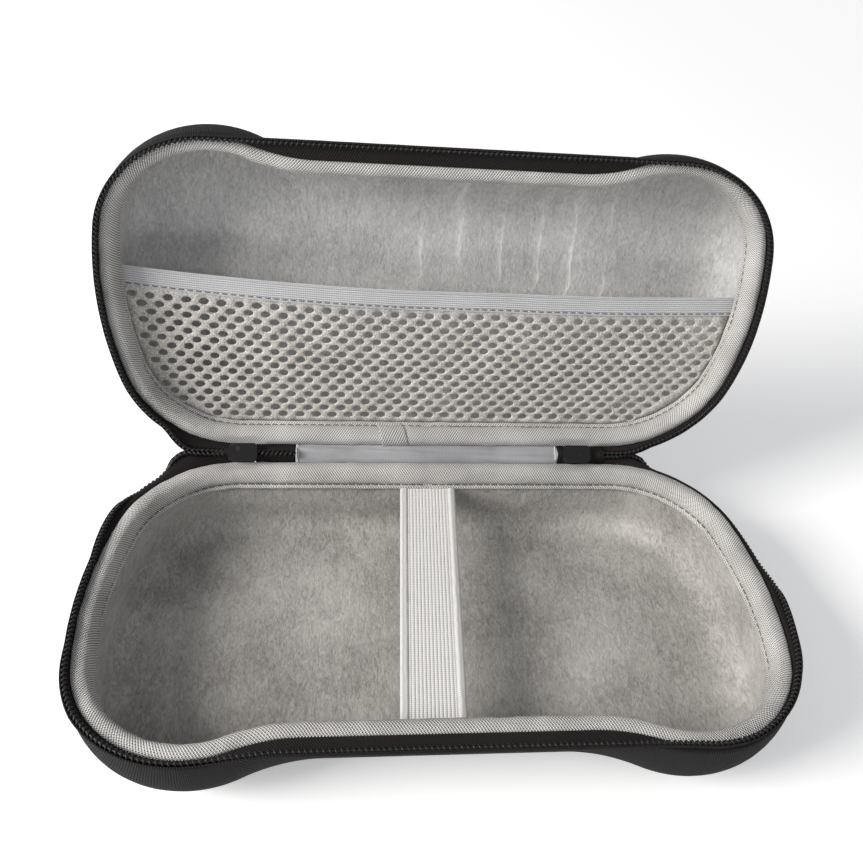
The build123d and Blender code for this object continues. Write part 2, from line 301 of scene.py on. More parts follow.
class Half:
    """One bowl, in its own millimetres: x along the hinge, y towards it, h up out of the bowl."""

    def __init__(self, body, depth, bottom_radius, floor_round, swell, lean, wall):
        self.body, self.depth, self.bottom_radius = body, depth, bottom_radius
        self.floor_round, self.swell, self.lean = floor_round, swell, lean
        self.wall, self.inside = wall, wall + seam_gap + lining_thickness

    def ring(self, drop, inset):
        """The outline at a drop below the rim: the waist deepens, and the bowl leans back."""
        share = max(drop, 0) / self.depth
        flat = outline(inset, waist_turn + (floor_waist_turn - waist_turn) * share)
        return np.column_stack([flat[:, 0], flat[:, 1] + self.lean * share ** 3, np.full(len(flat), -drop)])

    def place(self, local):
        """Points of this half as they stand in the frame, in metres."""
        x, y, h = np.moveaxis(np.asarray(local, float), -1, 0)
        if self.body == "base":
            return np.stack([x, y, base_depth + h], axis=-1) * MM
        soft = ease((half_depth - y) / 60)
        sag = LID_SETTLE + LID_SKEW * x - LID_EAR * ease((x - 10) / 80) * np.minimum(h, 0) / self.depth
        x, y = x + soft * (0.8 + 0.008 * x), y + soft * sag
        y, z = y - hinge_y, hinge_z - base_depth - h
        turned_y = hinge_y + cos(open_angle) * y + sin(open_angle) * z
        turned_z = hinge_z - sin(open_angle) * y + cos(open_angle) * z
        return np.stack([x, turned_y, turned_z], axis=-1) * MM


LID_SETTLE, LID_SKEW, LID_EAR = 1.6, 0.013, 5.5
base_depth = 36.0
base = Half("base", base_depth, 16.0, 19.0, 1.5, 8.0, 4.0)
lid = Half("lid", 30.0, 17.0, 18.5, 0.5, 2.0, 3.4)
ring_length = np.linalg.norm(np.diff(outline(0, waist_turn), axis=0), axis=1).sum()
print("points round the rim", len(outline(0, waist_turn)), "length", round(ring_length, 1), "mm")

# %% [markdown]
# ## From a grid of points to a piece
# Cloth in a case is nearly always a sheet that runs round an outline, so a grid of points is enough for
# most pieces: rows across the cloth, columns along it. The flat place of each point is kept in metres as
# a UV map, so the threads in a finish have their real width.

# %% Grid helper
def add_piece(name, points, faces, flat):
    """A mesh object from points in metres, faces, and the flat place of every face corner."""
    mesh = bpy.data.meshes.new(name)
    mesh.from_pydata(points.tolist(), [], faces)
    layer = mesh.uv_layers.new(name="flat")
    layer.data.foreach_set("uv", np.asarray(flat, np.float32).ravel())
    mesh.polygons.foreach_set("use_smooth", [True] * len(mesh.polygons))
    mesh.validate()
    made = bpy.data.objects.new(name, mesh)
    bpy.context.scene.collection.objects.link(made)
    return made


def weld(piece, closed=False):
    """Join points that lie in the same place, and turn the faces of a closed piece outwards."""
    sewn = bmesh.new()
    sewn.from_mesh(piece.data)
    bmesh.ops.remove_doubles(sewn, verts=sewn.verts, dist=1e-6)
    if closed:
        bmesh.ops.recalc_face_normals(sewn, faces=sewn.faces)
    sewn.to_mesh(piece.data)
    sewn.free()
    return piece


def grid_piece(name, grid, flat, around=False, tube=False):
    """A piece from rows of points, closed along the rows or across them."""
    rows, columns = grid.shape[:2]
    index = np.arange(rows * columns).reshape(rows, columns)
    if around:
        index = np.hstack([index, index[:, :1]])
    else:
        flat = flat[:, :columns]
    if tube:
        index = np.vstack([index, index[:1]])
    else:
        flat = flat[:rows]
    corners = [(slice(None, -1), slice(None, -1)), (slice(None, -1), slice(1, None)),
               (slice(1, None), slice(1, None)), (slice(1, None), slice(None, -1))]
    quads = np.stack([index[c] for c in corners], axis=-1).reshape(-1, 4)
    places = np.stack([flat[c] for c in corners], axis=-2).reshape(-1, 2)
    return add_piece(name, grid.reshape(-1, 3), quads.tolist(), places)


def thicken(piece, thickness, offset=-1.0):
    """Give a sheet its thickness, on the side that its faces turn away from."""
    cloth = piece.modifiers.new("thickness", "SOLIDIFY")
    cloth.thickness, cloth.offset = thickness * MM, offset
    return piece


def dress(piece, half, finish, slot, *nodes):
    """Give a piece its finish, hide the solids that it stands for, and tie it to its body."""
    piece.data.materials.append(finish)
    if nodes:
        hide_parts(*nodes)
    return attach(piece, half.body)


def roughness_of(points, scale, seed=0.0):
    """Smooth noise between about -1 and 1 at points in millimetres."""
    shift = Vector((seed, seed, seed))
    found = [noise.noise(Vector(p) / scale + shift) for p in points.reshape(-1, 3)]
    return np.array(found).reshape(points.shape[:-1])


def run_along(points):
    """The distance to each point from the first, along the first axis."""
    steps = np.linalg.norm(np.diff(points, axis=0), axis=-1)
    return np.concatenate([0 * steps[:1], np.cumsum(steps, axis=0)])


def along(rows):
    """Distance along each row of points in millimetres, with the closing step as a last column."""
    closed = np.concatenate([rows, rows[:, :1]], axis=1)
    steps = np.linalg.norm(np.diff(closed, axis=1), axis=2)
    return np.concatenate([np.zeros((len(rows), 1)), np.cumsum(steps, axis=1)], axis=1)


def thread_rings(line, radius, sides):
    """Rings of points round a line, each turned as little as possible from the one before."""
    ahead = np.gradient(line, axis=0)
    ahead /= np.linalg.norm(ahead, axis=1)[:, None]
    side, turned = np.cross(ahead[0], ahead[0][[1, 2, 0]] + (0.3, 0.1, 0.2)), []
    for step in ahead:
        side = side - step * side.dot(step)
        side = side / np.linalg.norm(side)
        turned.append(side)
    turned = np.array(turned)
    angles = 2 * pi * np.arange(sides) / sides
    raised = np.cross(ahead, turned)
    across = np.cos(angles)[:, None] * turned[:, None] + np.sin(angles)[:, None] * raised[:, None]
    return line[:, None] + radius * across


def thread_piece(name, lines, radius, sides=6):
    """One mesh of round threads along lines of points, all in metres, closed at their ends."""
    points, faces, flat, count = [], [], [], 0
    for line in lines:
        rings = thread_rings(line, radius, sides)
        run = run_along(line)
        index = count + np.arange(rings.shape[0] * sides).reshape(-1, sides)
        for low, high, u, v in zip(index[:-1], index[1:], run[:-1], run[1:]):
            for k in range(sides):
                n = (k + 1) % sides
                faces.append((low[k], low[n], high[n], high[k]))
                flat += [(u, k * radius), (u, (k + 1) * radius), (v, (k + 1) * radius), (v, k * radius)]
        for cap in (index[0][::-1], index[-1]):
            faces.append(cap.tolist())
            flat += [(0, 0)] * sides
        points.append(rings.reshape(-1, 3))
        count += rings.shape[0] * sides
    return add_piece(name, np.concatenate(points), [tuple(int(v) for v in f) for f in faces], flat)


def at_distances(path, places):
    """Points, or directions, of a path at distances along its first three columns."""
    run = run_along(path[:, :3])
    return np.column_stack([np.interp(places, run, column) for column in path.T])


def stitches(path, out, pitch, length, height):
    """Short lines along a path, each sunk into the cloth at both ends and raised in between."""
    total = np.linalg.norm(np.diff(path, axis=0), axis=1).sum()
    arch = height * np.array([-1.0, 0.5, 1.0, 0.5, -1.0])
    both = np.column_stack([path, out])
    lines = []
    for begin in np.arange(pitch / 2, total - length, pitch):
        found = at_distances(both, begin + length * np.array([0, 0.15, 0.5, 0.85, 1]))
        lines.append(found[:, :3] + found[:, 3:] * arch[:, None])
    return lines


# %% [markdown]
# ## Cloth finishes
# All these cloths are woven, so they share one idea: two waves, one along and one across the threads,
# multiplied to give the little bumps where a thread comes to the top. The height drives both the bump and
# the colour: towards the gaps between threads the colour darkens, which is painted shade. What differs is
# the pitch, the direction and which of the two waves is stronger. A slow noise keeps a large surface from
# looking printed.

# %% Woven finishes
def woven(name, dark, light, pitch_along, pitch_across, rib, cord, depth,
          slant=0.0, patches=0.12, contrast=1.0, **fixed):
    """A woven cloth. Rib and cord are shares of plain waves along and across; the rest is crossed threads."""
    finish, shader, start = new_finish(name, **fixed)
    place = start.node("ShaderNodeUVMap", {"uv_map": "flat"})
    parts = place.node("ShaderNodeSeparateXYZ", None, {0: place})
    wander = place.node("ShaderNodeTexNoise", None, {"Vector": place, "Scale": 220.0, "Detail": 2.0})
    u = parts.output("X") + parts.output("Y") * slant + wander * (pitch_along * 0.5)
    v = parts.output("Y") + wander * (pitch_across * 0.5)
    warp, weft = (u * (2 * pi / pitch_along)).maths("SINE"), (v * (2 * pi / pitch_across)).maths("SINE")
    over = warp * weft * 0.5 + 0.5
    height = u.wave(pitch_along) * rib + v.wave(pitch_across) * cord + over * (1 - rib - cord)
    slow = place.node("ShaderNodeTexNoise", None, {"Vector": place, "Scale": 45.0, "Detail": 3.0})
    # The share of the light colour: low in the gaps between threads, where the dark colour is painted shade.
    share = (height - 0.5) * contrast + (slow - 0.5) * (patches * 2) + 0.5
    bump = place.node("ShaderNodeBump", None, {"Strength": 0.8, "Distance": depth * MM, "Height": height})
    link_finish(shader, start, Base_Color=share.clamp().mix(dark, light), Normal=bump,
                Roughness=0.95 - height * 0.12)
    return finish


# In each woven finish the dark colour stands mostly for painted shade in the gaps between threads.
binding_cloth = woven("binding_cloth", (0.07, 0.064, 0.058, 1), (0.87, 0.855, 0.83, 1), 1.0 * MM, 0.84 * MM,
                      0.2, 0.0, 0.45, slant=0.5, contrast=1.9, patches=0.3, Specular_IOR_Level=0.2)
shell_cloth = woven("shell_cloth", (0.004, 0.004, 0.004, 1), (0.036, 0.036, 0.038, 1), 1.15 * MM, 0.7 * MM,
                    0.6, 0.0, 0.25, Specular_IOR_Level=0.1)
tape_cloth = woven("tape_cloth", (0.002, 0.002, 0.002, 1), (0.034, 0.029, 0.028, 1), 0.9 * MM, 1.1 * MM,
                   0.7, 0.0, 0.2, slant=0.3, Specular_IOR_Level=0.1)
strap_cloth = woven("strap_cloth", (0.34, 0.33, 0.32, 1), (0.78, 0.77, 0.755, 1), 0.75 * MM, 1.28 * MM,
                    0.15, 0.45, 0.2, patches=0.05, Specular_IOR_Level=0.2)
band_cloth = woven("band_cloth", (0.28, 0.282, 0.29, 1), (0.67, 0.675, 0.69, 1), 0.8 * MM, 0.9 * MM,
                   0.2, 0.55, 0.25, patches=0.15, contrast=1.2, Specular_IOR_Level=0.2)
liner_cloth = woven("liner_cloth", (0.15, 0.152, 0.158, 1), (0.45, 0.455, 0.47, 1), 0.6 * MM, 0.6 * MM,
                    0.2, 0.0, 0.12, patches=0.45, Specular_IOR_Level=0.35)
thread = woven("thread", (0.45, 0.44, 0.42, 1), (0.78, 0.77, 0.74, 1), 0.5 * MM, 0.5 * MM,
               0.5, 0.0, 0.1, slant=1.0, Specular_IOR_Level=0.3)
# A dark copy of the thread: its darkness is painted shade of the crease and needle holes that it lies in.
shaded_thread = woven("shaded_thread", (0.05, 0.046, 0.042, 1), (0.24, 0.225, 0.21, 1), 0.5 * MM, 0.5 * MM,
                      0.5, 0.0, 0.1, slant=1.0, Specular_IOR_Level=0.2)
print("woven finishes", len(bpy.data.materials))

# %% [markdown]
# ## Plush, mesh, nylon and lacquer
# Plush has no threads to see. Its pile lies over in one direction and is brushed up in patches, so it shows
# short streaks, lighter where the pile leans to the light. The knitted mesh has tiny loops, with painted
# shade between them and a painted highlight on their tops; the coil is shiny black nylon, and the sliders
# are black lacquer that is rubbed thin in places.

# %% Other finishes
def plush(name, dark, light, streak, patch, creases=()):
    """Short pile: fine streaks along the pile, tufts, slow brushed patches, and pressed creases, each a bump
    with a painted highlight.
    """
    finish, shader, start = new_finish(name, Sheen_Weight=0.5, Sheen_Roughness=0.4, Specular_IOR_Level=0.1)
    place = start.node("ShaderNodeUVMap", {"uv_map": "flat"})
    parts = place.node("ShaderNodeSeparateXYZ", None, {0: place})
    lay = place.node("ShaderNodeMapping", None, {"Vector": place, "Scale": (1.0, 0.4, 1.0)})
    fine, tufts, slow = (
        place.node("ShaderNodeTexNoise", None,
                   {"Vector": where, "Scale": scale, "Detail": detail, "Distortion": distortion})
        for where, scale, detail, distortion in (
            (lay, 1900.0, 3.0, 0.8), (lay, 520.0, 2.0, 1.4), (place, 26.0, 3.0, 0.0)))
    sway = place.node("ShaderNodeTexNoise", {"noise_dimensions": "1D"},
                      {"W": parts.output("Y") * 20.0, "Detail": 1.0})
    height = fine * 0.5 + tufts * 0.5
    share = (height - 0.5) * streak + (slow - 0.5) * patch + 0.5
    for middle, width, gain in creases:
        off = (parts.output("X") + (sway - 0.5) * (4 * MM) - middle * MM) / (width * MM)
        # Each crease is raised in the bump and lightened in colour, which is a painted highlight.
        ridge_and_highlight = 1 / (off * off + 1) * ((slow - 0.42) * 4).maths("MAXIMUM", 0.15) * gain
        share = share + ridge_and_highlight * 0.5
        height = height + ridge_and_highlight * 1.1
    bump = place.node("ShaderNodeBump", None, {"Strength": 0.7, "Distance": 0.5 * MM, "Height": height})
    link_finish(shader, start, Base_Color=share.clamp().mix(dark, light), Normal=bump,
                Roughness=0.9 + tufts * 0.1)
    return finish


# Places, widths and gains of the lid's creases, each drawn as a bump with a painted highlight.
lid_creases = ((-6, 0.9, 0.7), (9, 1.1, 0.8), (25, 0.8, 0.9), (40, 0.9, 1.1), (53, 0.8, 0.7),
               (67, 0.7, 0.6))
lid_plush = plush("lid_plush", (0.24, 0.237, 0.235, 1), (0.66, 0.655, 0.645, 1), 1.7, 0.6, lid_creases)
# The base's plush is the lid's grey plush coloured darker, as painted shade inside the base.
shaded_base_plush = plush("shaded_base_plush", (0.165, 0.155, 0.142, 1), (0.5, 0.485, 0.46, 1), 1.9, 1.2)

mesh_knit, knit_shader, knit = new_finish("mesh_knit", Sheen_Weight=0.2, Specular_IOR_Level=0.25)
knit_place = knit.node("ShaderNodeUVMap", {"uv_map": "flat"})
loops = knit.node("ShaderNodeTexVoronoi", {"feature": "F1"},
                  {"Vector": knit_place, "Scale": 1500.0, "Randomness": 0.6})
knit_slow = knit.node("ShaderNodeTexNoise", None, {"Vector": knit_place, "Scale": 60.0, "Detail": 2.0})
# Darker away from each loop's middle: painted shade between the loops and a painted highlight on them, with a
# slow change of tone.
knit_shade_and_tone = (loops * 1.25 + knit_slow * 0.5 - 0.3).clamp()
knit_bump = knit.node("ShaderNodeBump", {"invert": True},
                      {"Strength": 0.7, "Distance": 0.25 * MM, "Height": loops})
link_finish(knit_shader, knit, Base_Color=knit_shade_and_tone.mix((0.75, 0.73, 0.70, 1), (0.27, 0.245, 0.22, 1)),
            Normal=knit_bump, Roughness=0.95 - loops * 0.1)

coil_nylon, coil_shader, nylon = new_finish("coil_nylon", Specular_IOR_Level=0.24)
nylon_place = nylon.node("ShaderNodeTexCoord").output("Object")
scuff = nylon.node("ShaderNodeTexNoise", None, {"Vector": nylon_place, "Scale": 900.0, "Detail": 2.0})
link_finish(coil_shader, nylon, Base_Color=scuff.mix((0.002, 0.002, 0.002, 1), (0.012, 0.012, 0.013, 1)),
            Roughness=0.22 + scuff * 0.2)

lacquer, lacquer_shader, paint = new_finish("lacquer", Specular_IOR_Level=0.15)
paint_place = paint.node("ShaderNodeTexCoord").output("Object")
grain = paint.node("ShaderNodeTexNoise", None, {"Vector": paint_place, "Scale": 1400.0, "Detail": 3.0})
rubbed = paint.node("ShaderNodeTexNoise", None, {"Vector": paint_place, "Scale": 260.0, "Detail": 2.0})
worn = ((rubbed - 0.62) * 4.0 + (grain - 0.5) * 0.4).clamp(0.0, 0.35)
paint_bump = paint.node("ShaderNodeBump", None, {"Strength": 0.25, "Distance": 0.05 * MM, "Height": grain})
link_finish(lacquer_shader, paint, Base_Color=worn.mix((0.004, 0.004, 0.0045, 1), (0.05, 0.05, 0.048, 1)),
            Roughness=0.42 + grain * 0.15, Normal=paint_bump)
print("finishes", len(bpy.data.materials))

# %% [markdown]
# ## The moulded shells
# A sheet of foam between two cloths is heated and pressed into a mould, so the cloth has no seams: it runs
# over the rim, down the wall, round the bottom edge and across the floor. A loft through levels of the
# outline gives that form, outside and inside, so the foam has its real thickness. Its flat place is the
# floor's, carried on outwards up the wall, which is how the cloth was pulled into the mould, so the ribs
# run straight on from the floor to the walls.

# %% Bowl surfaces
WALL_ROWS, ROUND_ROWS, FLOOR_ROWS = 14, 10, 24
SPINE_HALF = 66.0


def bowl_rows(half, skin, top):
    """Drops and insets of a layer from its top, down the wall and round the bottom edge."""
    foot = half.depth - half.bottom_radius
    drops = np.linspace(top, foot, WALL_ROWS)
    radius = half.bottom_radius - skin
    turns = np.radians(np.linspace(0, 90, ROUND_ROWS + 1)[1:])
    round_drops = foot + radius * np.sin(turns)
    round_insets = foot * slope + half.bottom_radius - radius * np.cos(turns)
    return np.concatenate([drops, round_drops]), np.concatenate([skin + drops * slope, round_insets])


def bowl_grid(half, drops, insets):
    """Rows of a bowl, its floor drawn in to a line where front and back meet, and their flat places."""
    rows = [half.ring(drop, inset) for drop, inset in zip(drops, insets)]
    edge = rows[-1]
    quarter = len(edge) // 4
    step = np.arange(len(edge)) % (2 * quarter)
    share = np.minimum(step, 2 * quarter - step) / quarter
    reach = np.sign(edge[:, 0]) * SPINE_HALF * (1 - (1 - share) ** 2.2)
    spine = np.column_stack([reach, np.full(len(edge), half.lean), edge[:, 2]])
    for share in np.linspace(0, 1, FLOOR_ROWS + 1)[1:]:
        rows.append(edge + (spine - edge) * share)
    rows = np.array(rows)
    ahead = np.roll(edge, -1, axis=0) - np.roll(edge, 1, axis=0)
    outward = np.column_stack([-ahead[:, 1], ahead[:, 0]]) / np.linalg.norm(ahead[:, :2], axis=1)[:, None]
    rise = np.linalg.norm(np.diff(rows[: len(drops), 0], axis=0), axis=1)
    away = np.concatenate([np.cumsum(rise[::-1])[::-1], [0], np.zeros(FLOOR_ROWS)])
    flat = rows[:, :, :2].copy()
    flat[: len(drops)] = edge[None, :, :2] + outward[None] * away[: len(drops), None, None]
    flat = np.concatenate([flat, flat[:, :1]], axis=1) * MM
    return rows, flat


def outer_rows(half):
    """Drops and insets of the outside: over the rim's edge, down its swell and round to the floor."""
    edge = ((0.0, 2.0), (0.0, 1.0), (0.15, 0.45), (0.5, 0.1), (1.1, 0.0), (rim_band, 0.0))
    drops, insets = np.array(edge).T
    insets[1:] -= half.swell
    turns = np.radians(np.linspace(0, 90, 20)[1:])
    round_drops = rim_band + (half.depth - rim_band) * np.sin(turns)
    round_insets = half.floor_round * (1 - np.cos(turns)) - half.swell
    return np.concatenate([drops, round_drops]), np.concatenate([insets, round_insets])


for half in (base, lid):
    rows, flat = bowl_grid(half, *outer_rows(half))
    rows[:, :, 1] = np.minimum(rows[:, :, 1], half_depth)
    inner_rows, inner_flat = bowl_grid(half, *bowl_rows(half, half.wall, 0.0))
    rows, flat = np.concatenate([inner_rows[::-1], rows]), np.concatenate([inner_flat[::-1], flat])
    shell = weld(grid_piece(f"{half.body}_shell_cover", half.place(rows), flat, around=True), closed=True)
    dress(shell, half, shell_cloth, "shell_cloth", f"{half.body}_shell")
    print(shell.name, len(shell.data.polygons), "faces")

# %% [markdown]
# ## The plush linings
# The lining is glued to the foam, so it has the bowl's inner form, but cloth with a pile is never quite
# smooth: it lies in slow waves. The points are moved off the surface by noise, and the finish adds the pile
# and the narrow creases that the lid's lining has from how it was pressed, with a painted highlight on each.

# %% Linings
def lining_rows(half):
    drops, insets = bowl_rows(half, half.inside, 0.5)
    return bowl_grid(half, drops, insets)


def into_the_bowl(rows):
    """The direction out of the cloth at each point of a bowl, from its neighbours."""
    across = np.gradient(rows, axis=0)
    ahead = np.roll(rows, -1, axis=1) - np.roll(rows, 1, axis=1)
    out = np.cross(ahead, across)
    length = np.linalg.norm(out, axis=2, keepdims=True)
    return out / np.maximum(length, 1e-9)


for half, finish in ((base, shaded_base_plush), (lid, lid_plush)):
    rows, flat = lining_rows(half)
    out = into_the_bowl(rows)
    if np.mean(out[-8:, :, 2]) < 0:
        out = -out
    out[-FLOOR_ROWS - 1:] = (0, 0, 1)
    waves = ((0.45, 26.0, 0.0), (0.22, 9.0, 4.0), (0.10, 3.5, 9.0))
    lift = sum(size * roughness_of(rows, scale, seed) for size, scale, seed in waves)
    hold = np.clip((-rows[:, :, 2] - 7.5) / 6.0, 0, 1)
    rows = rows + out * (lift * hold)[:, :, None]
    lining = weld(grid_piece(f"{half.body}_plush_lining", half.place(rows), flat, around=True))
    thicken(lining, lining_thickness, -1.0 if half is lid else 1.0)
    dress(lining, half, finish, "plush", f"{half.body}_lining")
    print(lining.name, len(lining.data.polygons), "faces")

# %% [markdown]
# ## The binding
# A strip of woven tape covers the raw edge of foam and lining: it lies over the rim, rolls inwards and
# runs down the lining, where one row of stitches holds it. The stitches pull it in, so the roll stands
# proud above them and the strip's lower edge turns out below. A closed section carried round the outline
# gives that; noise along the rim gives the small puckers between stitches. Beside the sliders the roll is
# pressed flat, so that the closed zip has room.

# %% Binding
PROFILE_STEPS = 3
SLIDER_PLACES, SLIDER_ROOM = (-72.55, 59.55), 1.35


def smooth_loop(corners, steps):
    """A closed curve through corner points."""
    corners = np.asarray(corners, float)
    before, after, later = np.roll(corners, 1, 0), np.roll(corners, -1, 0), np.roll(corners, -2, 0)
    curve = []
    for t in np.arange(steps) / steps:
        a, b = (-t + 2 * t ** 2 - t ** 3) / 2, (2 - 5 * t ** 2 + 3 * t ** 3) / 2
        c, d = (t + 4 * t ** 2 - 3 * t ** 3) / 2, (-t ** 2 + t ** 3) / 2
        curve.append(a * before + b * corners + c * after + d * later)
    return np.stack(curve, axis=1).reshape(-1, 2)


def binding_profile(half):
    """Insets and drops round the binding's section, from its outer edge over the roll to its hem."""
    back, face = half.inside + seam_gap, half.inside + 1.45
    return smooth_loop([
        (0.9, -0.15), (0.75, -0.8), (1.15, -1.4), (2.3, -1.8), (face - 3.0, -1.9), (face - 1.7, -1.5),
        (face - 0.7, -0.5), (face - 0.05, 0.9), (face + 0.25, 2.3), (face + 0.15, 3.6), (face - 0.4, 4.6),
        (face - 0.75, 5.1), (face - 0.4, 5.6), (face + 0.05, 6.3), (face - 0.15, 7.1), (face - 0.8, 7.25),
        (back, 7.0), (back, 4.5), (back, 2.0), (back, 0.2), (back - 0.6, -0.15), (3.0, -0.15),
    ], PROFILE_STEPS)


def binding_rings(half, profile):
    return np.array([half.ring(drop, inset + max(drop, 0) * slope) for inset, drop in profile])


for half in (base, lid):
    profile = binding_profile(half)
    rows = binding_rings(half, profile)
    out = into_the_bowl(np.concatenate([rows[-1:], rows, rows[:1]]))[1:-1]
    middle = rows.mean(axis=0)
    if np.mean(((rows - middle) * out).sum(axis=2)) < 0:
        out = -out
    shown = np.array([1.0 if drop < 7.2 and inset > 0.8 else 0.0 for inset, drop in profile])[:, None]
    pucker = 0.26 * roughness_of(rows, 7.0, 2.0) + 0.16 * roughness_of(rows, 2.6, 5.0)
    rows = rows + out * (pucker * shown)[:, :, None]
    off = np.min([np.abs(rows[:, :, 0] - place) for place in SLIDER_PLACES], axis=0)
    room = np.where(rows[:, :, 1] > 0, SLIDER_ROOM + ease((off - 6.5) / 3), half.depth)
    rows[:, :, 2] = np.minimum(rows[:, :, 2], room)
    run = np.repeat(along(rows[:1]), len(rows) + 1, axis=0)
    height = run_along(np.vstack([profile, profile[:1]]))
    flat = np.stack([run, np.repeat(height[:, None], run.shape[1], axis=1)], axis=-1) * MM
    binding = grid_piece(f"{half.body}_rim_binding", half.place(rows), flat, around=True, tube=True)
    dress(binding, half, binding_cloth, "binding_cloth", f"{half.body}_binding")
    print(binding.name, len(binding.data.polygons), "faces")

# %% [markdown]
# ## Where the binding's ends meet
# The binding is one strip, so its end has to lap over its beginning. On the lid that is near the middle of
# the hinge edge: the end is cut on a slant and stands up a little, which leaves a short dark step.

# %% Binding lap
LAP_X, LAP_LENGTH, LAP_HEIGHT = -18.0, 10.5, 0.4
section = binding_rings(lid, binding_profile(lid))[: 13 * PROFILE_STEPS, 0, 1:]
steps = np.gradient(section, axis=0)
outward = np.column_stack([steps[:, 1], -steps[:, 0]]) / np.linalg.norm(steps, axis=1)[:, None]
if np.mean(((section - section.mean(axis=0)) * outward).sum(axis=1)) < 0:
    outward = -outward
height = run_along(section)
run = np.linspace(0, LAP_LENGTH, 14)
stand = LAP_HEIGHT * (1 - run / LAP_LENGTH) + 0.05
grid = np.zeros((len(section), len(run), 3))
grid[:, :, 0] = LAP_X + run - 0.22 * height[:, None]
grid[:, :, 1:] = section[:, None] + outward[:, None] * stand[None, :, None]
lap_flat = np.stack(np.broadcast_arrays(run[None], height[:, None]), axis=-1) * MM
lap = thicken(grid_piece("lid_binding_lap", lid.place(grid), lap_flat), 0.3, 0.0)
dress(lap, lid, binding_cloth, "binding_cloth")
height[-1] * MM
print("lap", LAP_LENGTH, "by", round(height[-1], 1), "mm")

# %% [markdown]
# ## Stitches of the binding
# The row of stitches lies in the crease of the binding. A sewing machine leaves short arches of thread, so
# each stitch is a small tube that dives into the cloth at both ends. The thread is coloured dark as painted
# shade of the crease and its needle holes. One row is enough for each half.

# %% Binding stitches
for half in (base, lid):
    inset, drop = half.inside + 0.72, 5.1
    crease = half.ring(drop, inset + drop * slope)
    crease = np.vstack([crease, crease[:1]])
    inwards = half.ring(drop, inset + 1 + drop * slope) - crease[:-1]
    lines = stitches(crease, np.vstack([inwards, inwards[:1]]), 3.0, 2.3, 0.3)
    sewn = thread_piece(f"{half.body}_binding_stitches", [half.place(line) for line in lines], 0.2 * MM, 5)
    dress(sewn, half, shaded_thread, "binding_cloth")
    print(sewn.name, len(lines), "stitches")

# %% [markdown]
# ## The zip
# Each half of the zip is a woven tape with a nylon coil sewn along its inner face. The tape stands up from
# the rim in the seam under the binding. At the waist the rim turns in while the coil spans it nearly
# straight, so there the tape lies out flat like a small shelf. Near the sliders both halves are drawn
# together, and at the right back corner of the base the slack tape has fallen outwards over the rim. The
# coil is one plastic wire wound round a cord, and it is wound here in the same way: a point that circles
# round the zip's line while it moves along it.

# %% Zip tapes and coils
zip_left, zip_right = -78.05, 65.05
SLIDER_LENGTH = 11.0
TAPE_INSET, COIL_HEIGHT, COIL_PITCH = 0.4, 3.7, 1.8
LOOP_POINTS = 12
standing = ((0, -0.3), (0.05, 0.8), (0.1, 1.5), (0.4, 2.3),
            (0.8, 2.8), (1.05, 3.4), (1.05, 3.9), (0.95, 4.4))
fallen = ((0, -0.3), (0.35, 0.2), (0.85, 0.3), (1.5, 0.1),
          (2.05, -0.35), (2.3, -1.2), (2.4, -2.3), (2.45, -3.6))
coil_standing, coil_fallen = (0.0, COIL_HEIGHT), (3.3, -3.0)
LEAN_OUT, PIVOT_HEIGHT = radians(60), 0.6
right_fall = ((12, 0.0), (28, 1.0), (80, 1.0), (114, 0.3), (135, 0.12), (165, 0.2), (200, 0.0))
left_fall = ((12, 0.0), (22, 0.75), (34, 0.8), (50, 0.4), (70, 0.0), (105, 0.05), (130, 0.35), (170, 0.35),
             (195, 0.0))
half_open = open_angle / 2


def coil_line():
    """The outline that the coil follows, with its points abreast of those on the rim."""
    rim, flat = outline(TAPE_INSET, waist_turn), outline(TAPE_INSET, coil_waist_turn)
    lobe = LINE_POINTS + 3 * ARC_POINTS
    front = slice(lobe, len(flat) - lobe + 1)
    spanned = np.interp(-rim[front, 0], -flat[front, 0], flat[front, 1])
    flat[front] = np.column_stack([rim[front, 0], spanned])
    return flat


